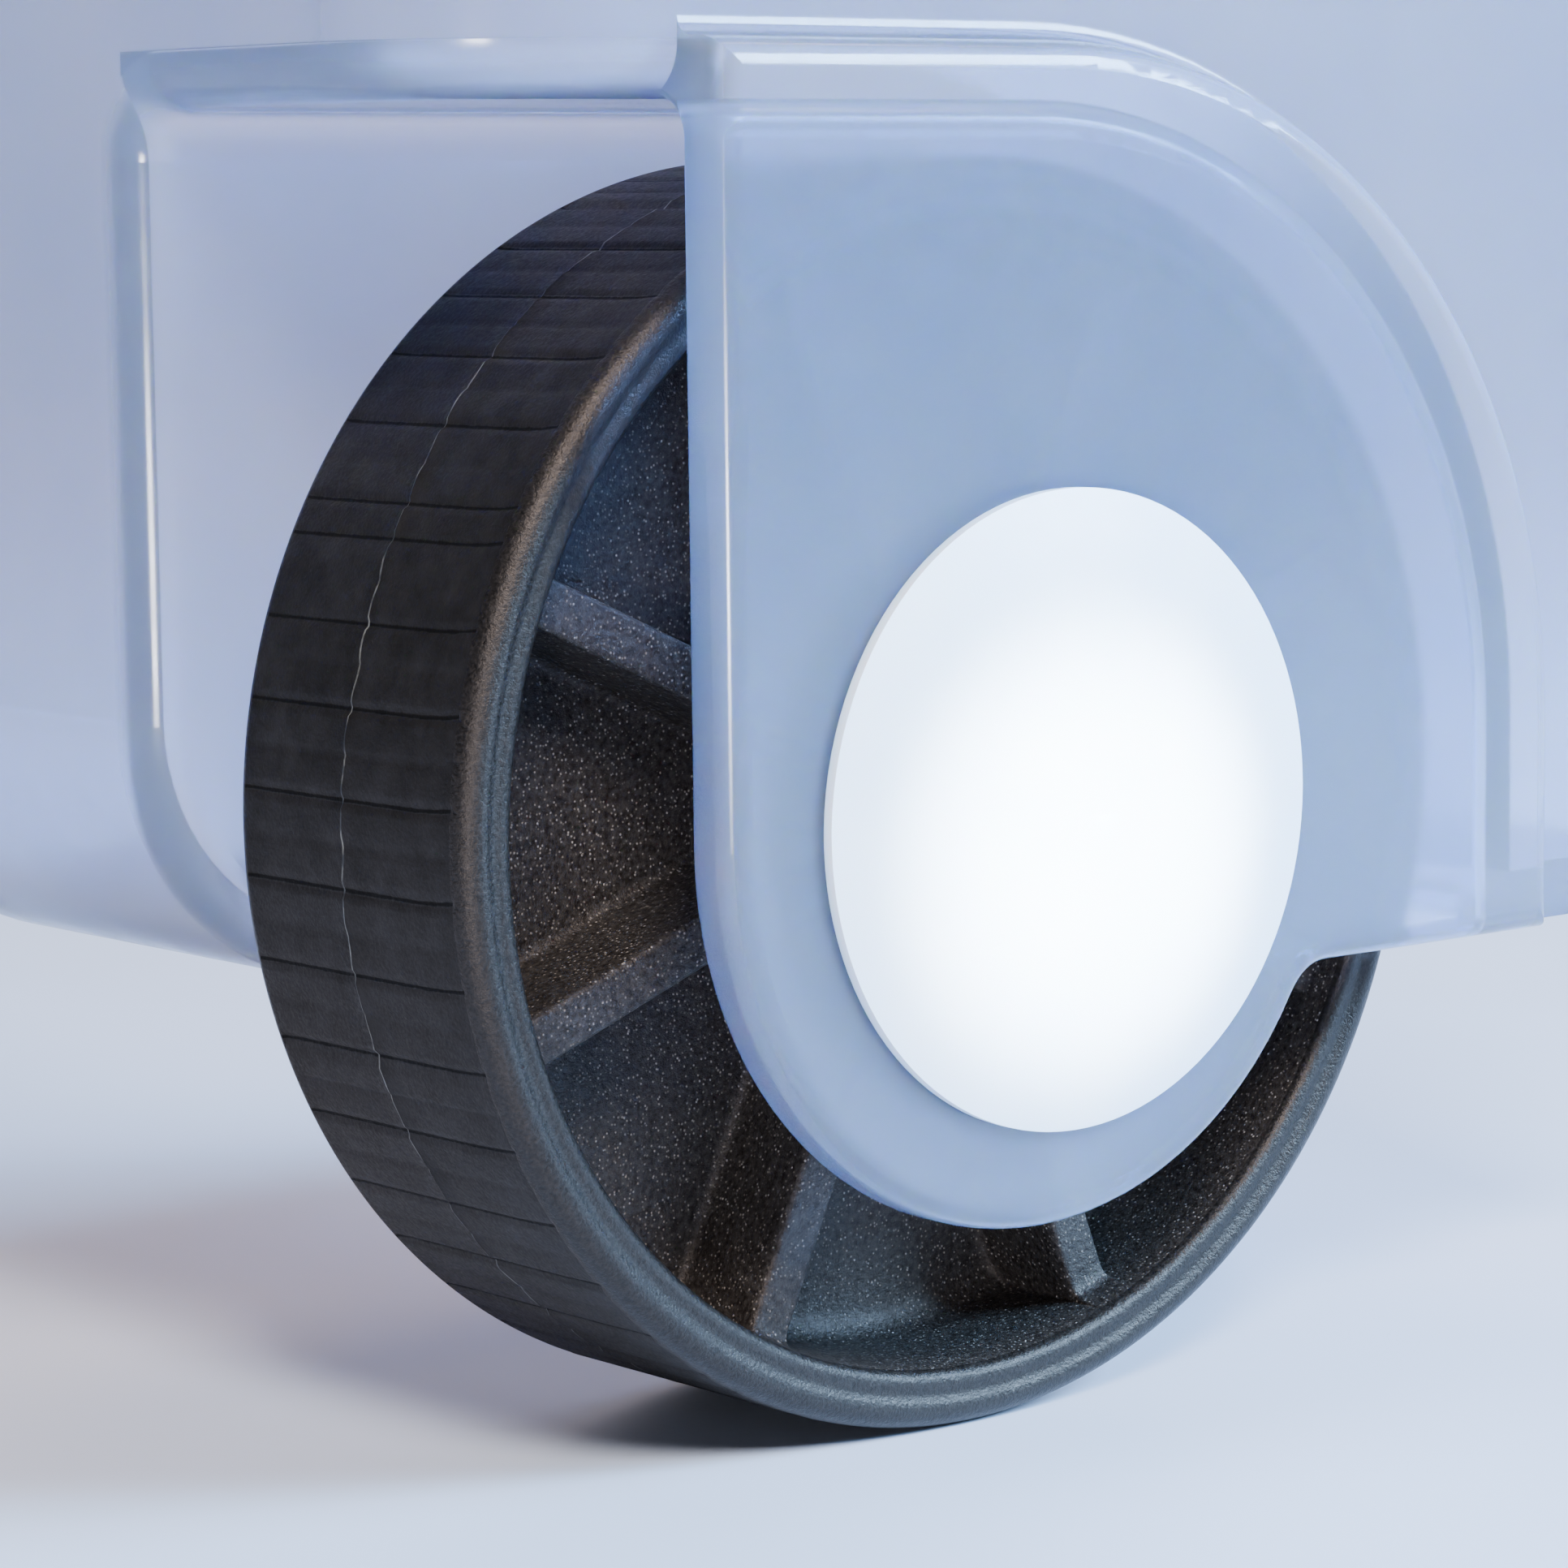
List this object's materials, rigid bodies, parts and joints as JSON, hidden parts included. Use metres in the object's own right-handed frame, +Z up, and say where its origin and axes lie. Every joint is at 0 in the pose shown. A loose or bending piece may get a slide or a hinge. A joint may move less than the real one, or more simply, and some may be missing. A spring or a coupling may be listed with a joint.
{
  "type": "storage box roller wheel",
  "caption": "Corner of a translucent storage box with its fixed roller wheel, a ribbed black wheel on a steel axle behind a raised cheek closed by a white domed cap.",
  "frame": {"origin": "on the top face of the wheel well's roof, straight above the wheel's centre, which is 29.2 mm lower", "axes": "+Z up, +Y along the axle from the cheek with the cap towards the inside of the box, +X along the box's side, away from the open end of the wheel well"},
  "size_m": [0.067, 0.0464, 0.065],
  "materials": {
    "translucent_plastic": "milky translucent polypropylene, soft sheen",
    "black_plastic": "fine spark-eroded grain, satin lip",
    "white_plastic": "satin moulded",
    "spacer_nylon": "natural nylon",
    "axle_steel": "drawn bright steel",
    "spring_steel": "zinc-plated spring steel"
  },
  "bodies": {
    "box_corner": {"wheel_housing": "translucent_plastic", "axle_rod": "axle_steel", "outer_spacer": "spacer_nylon", "inner_spacer": "spacer_nylon", "outer_grip_washer": "spring_steel", "inner_grip_washer": "spring_steel", "outer_cap": "white_plastic", "inner_cap": "white_plastic"},
    "roller": {"wheel": "black_plastic"}
  },
  "joints": [
    {"name": "wheel_spin", "type": "hinge", "parent": "box_corner", "child": "roller", "pos_m": [0, 0, -0.0292], "axis": [0, 1, 0], "continuous": true}
  ]
}
